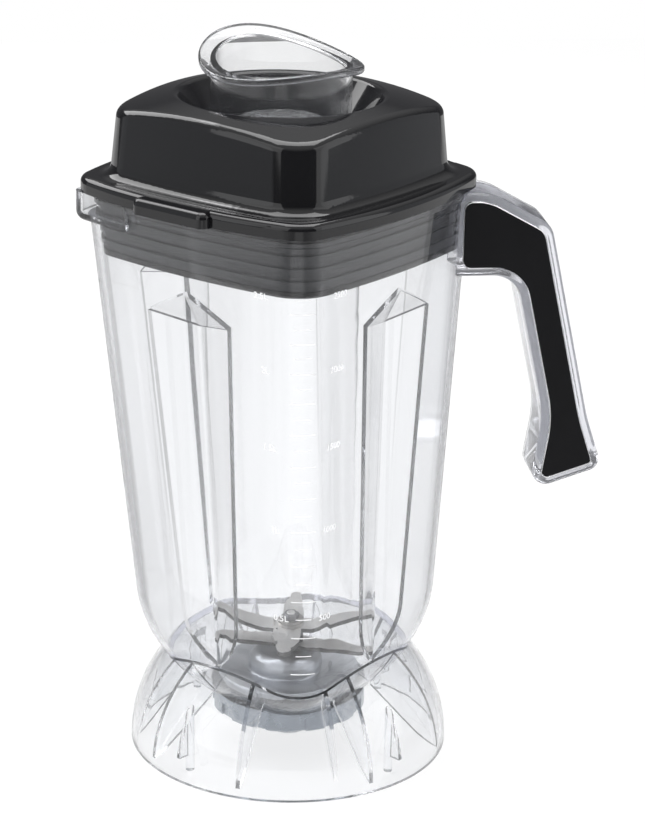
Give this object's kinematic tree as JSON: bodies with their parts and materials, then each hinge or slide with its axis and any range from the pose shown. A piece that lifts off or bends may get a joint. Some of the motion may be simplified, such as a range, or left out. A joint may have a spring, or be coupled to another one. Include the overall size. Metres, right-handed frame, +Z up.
{
  "type": "blender jar",
  "caption": "Clear square blender jar with pressed-in flow ribs, finned skirt, open handle, black lid with filler cap, and a bladed shaft that turns on ball bearings.",
  "frame": {"origin": "where the blade's axis meets the plane of the foot ring", "axes": "+X towards the handle, -X towards the spout, +Z up along the blade's axis"},
  "size_m": [0.2441, 0.1804, 0.3413],
  "materials": {
    "clear_plastic": "clear, glossy",
    "lid_black": "glossy",
    "grip_black": "matt",
    "seal_rubber": "satin",
    "blade_steel": "satin",
    "housing_metal": "satin",
    "bearing_steel": "polished"
  },
  "bodies": {
    "jar_body": {"jar": "clear_plastic", "handle_frame": "clear_plastic", "foot_skirt": "clear_plastic", "handle_grip_front": "grip_black", "handle_grip_rear": "grip_black", "lid": "lid_black", "lid_seal": "seal_rubber", "filler_cap": "clear_plastic", "bearing_housing": "housing_metal", "floor_gasket": "seal_rubber", "retaining_ring": "housing_metal", "shaft_seal": "seal_rubber", "upper_bearing_outer_ring": "bearing_steel", "lower_bearing_outer_ring": "bearing_steel", "circlip": "bearing_steel"},
    "blade_rotor": {"blade_shaft": "blade_steel", "upper_bearing_inner_ring": "bearing_steel", "lower_bearing_inner_ring": "bearing_steel", "bearing_sleeve": "bearing_steel", "drive_socket": "housing_metal", "lower_blade": "blade_steel", "blade_spacer": "blade_steel", "upper_blade": "blade_steel", "blade_washer": "blade_steel", "blade_nut": "blade_steel"},
    "upper_ball_set": {"upper_bearing_balls": "bearing_steel"},
    "lower_ball_set": {"lower_bearing_balls": "bearing_steel"}
  },
  "joints": [
    {"name": "blade_spin", "type": "hinge", "parent": "jar_body", "child": "blade_rotor", "pos_m": [0, 0, 0.03], "axis": [0, 0, 1], "continuous": true},
    {"name": "upper_balls_spin", "type": "hinge", "parent": "jar_body", "child": "upper_ball_set", "pos_m": [0, 0, 0.0345], "axis": [0, 0, 1], "continuous": true},
    {"name": "lower_balls_spin", "type": "hinge", "parent": "jar_body", "child": "lower_ball_set", "pos_m": [0, 0, 0.023], "axis": [0, 0, 1], "continuous": true}
  ],
  "couplings": [
    {"joint": "upper_balls_spin", "follows": "blade_spin", "ratio": 0.3733},
    {"joint": "lower_balls_spin", "follows": "blade_spin", "ratio": 0.3733}
  ]
}
